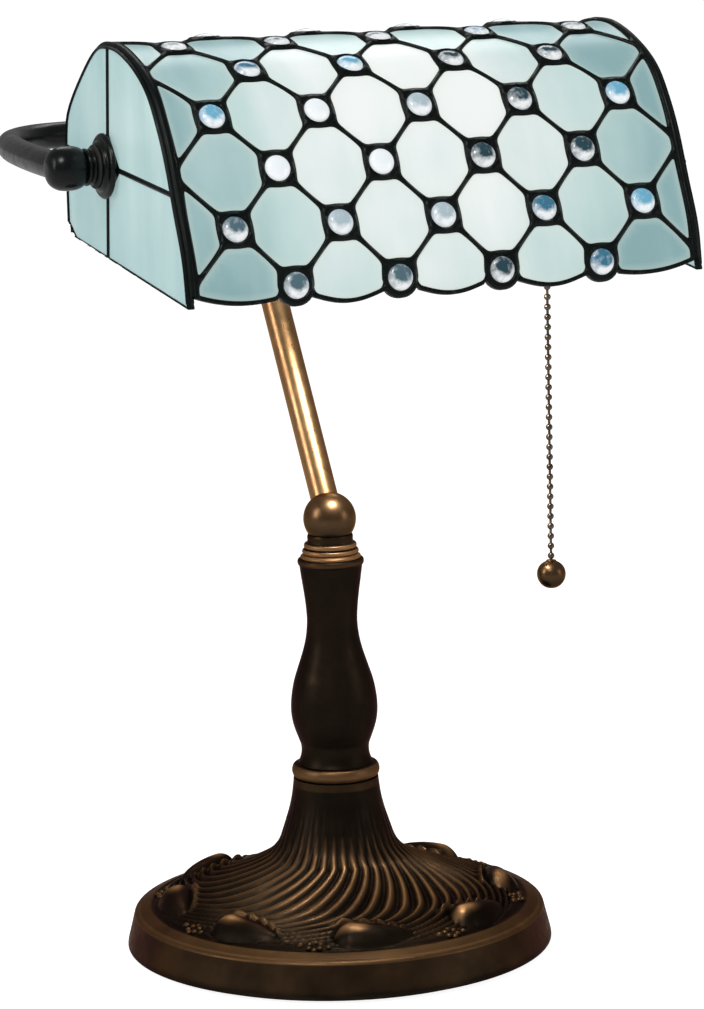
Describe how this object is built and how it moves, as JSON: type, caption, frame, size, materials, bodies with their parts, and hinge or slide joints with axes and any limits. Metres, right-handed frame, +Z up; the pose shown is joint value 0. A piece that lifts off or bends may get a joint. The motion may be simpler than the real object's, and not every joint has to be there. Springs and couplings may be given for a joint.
{
  "type": "banker desk lamp",
  "caption": "Banker desk lamp with a leaded-glass shade on a tube yoke, a leaning stem, a turned column, a swirled round base and a pull chain.",
  "frame": {"origin": "centre of the felt under the base, on the surface that the lamp stands on", "axes": "+Z up through the column; +X along the shade towards its lampholder and chain; -Y towards the user, where the shade opens and dips"},
  "size_m": [0.2986, 0.2607, 0.432],
  "materials": {
    "dark_bronze": "antique bronze, brown-black with rubbed highlights",
    "copper_bronze": "satin copper bronze",
    "black_bronze": "glossy green-black bronze",
    "lead": "black patina over solder",
    "aqua_glass": "opalescent pale aqua glass",
    "brass": "plain brass",
    "chain_brass": "aged brass beads",
    "steel": "zinc-plated steel",
    "cast_iron": "rough casting",
    "felt": "black felt",
    "rubber": "moulded bushing",
    "phenolic": "brown phenolic",
    "fibre": "vulcanised fibre",
    "bulb_glass": "frosted white glass"
  },
  "bodies": {
    "stand": {"base_felt": "felt", "base_casting": "dark_bronze", "base_weight": "cast_iron", "tie_rod": "steel", "base_washer": "steel", "base_nut": "brass", "cord_bushing": "rubber", "base_collar": "copper_bronze", "column": "dark_bronze", "neck_collar": "dark_bronze"},
    "pull": {"pull_stub": "chain_brass"},
    "link": {"swivel_bead": "chain_brass"},
    "chain": {"pull_chain": "chain_brass", "pull_ball": "copper_bronze"},
    "shade": {"wrap_glass": "aqua_glass", "lead_net": "lead", "rosette_left": "black_bronze", "end_frame_left": "lead", "end_glass_left_front_upper": "aqua_glass", "end_glass_left_front_lower": "aqua_glass", "end_glass_left_back_upper": "aqua_glass", "end_glass_left_back_lower": "aqua_glass", "rosette_right": "black_bronze", "end_frame_right": "lead", "end_glass_right_front_upper": "aqua_glass", "end_glass_right_front_lower": "aqua_glass", "end_glass_right_back_upper": "aqua_glass", "end_glass_right_back_lower": "aqua_glass"},
    "head": {"knuckle_ball": "copper_bronze", "knuckle_set_screw": "steel", "stem_tube": "copper_bronze", "yoke_hub": "black_bronze", "hub_set_screw": "steel", "yoke_tube": "black_bronze", "socket_cap": "brass", "socket_shell": "brass", "insulating_sleeve": "fibre", "switch_body": "phenolic", "screw_shell": "brass", "bulb_base": "steel", "bulb_glass": "bulb_glass", "bell_mouth": "brass", "pivot_cap_left": "black_bronze", "lock_ring_left": "black_bronze", "friction_washer_left": "fibre", "inner_washer_left": "steel", "inner_nut_left": "brass", "pivot_nipple_left": "steel", "pivot_cap_right": "black_bronze", "lock_ring_right": "black_bronze", "friction_washer_right": "fibre", "inner_washer_right": "steel", "inner_nut_right": "brass", "pivot_nipple_right": "steel"}
  },
  "joints": [
    {"name": "stem_swivel", "type": "hinge", "parent": "stand", "child": "head", "pos_m": [0, 0, 0.2038], "axis": [0, 0, 1], "range_deg": [-90, 90]},
    {"name": "shade_tilt", "type": "hinge", "parent": "head", "child": "shade", "pos_m": [0, -0.048, 0.3785], "axis": [1, 0, 0], "range_deg": [-40, 40]},
    {"name": "pull_slide", "type": "slide", "parent": "head", "child": "pull", "axis": [0, 0, -1], "range_m": [0, 0.008], "stiffness_N_per_m": 400, "springref_m": -0.004},
    {"name": "chain_swing", "type": "hinge", "parent": "pull", "child": "link", "pos_m": [0.0905, -0.048, 0.3463], "axis": [1, 0, 0], "range_deg": [-30, 30]},
    {"name": "chain_sway", "type": "hinge", "parent": "link", "child": "chain", "pos_m": [0.0905, -0.048, 0.3463], "axis": [0, 1, 0], "range_deg": [-30, 30]}
  ]
}
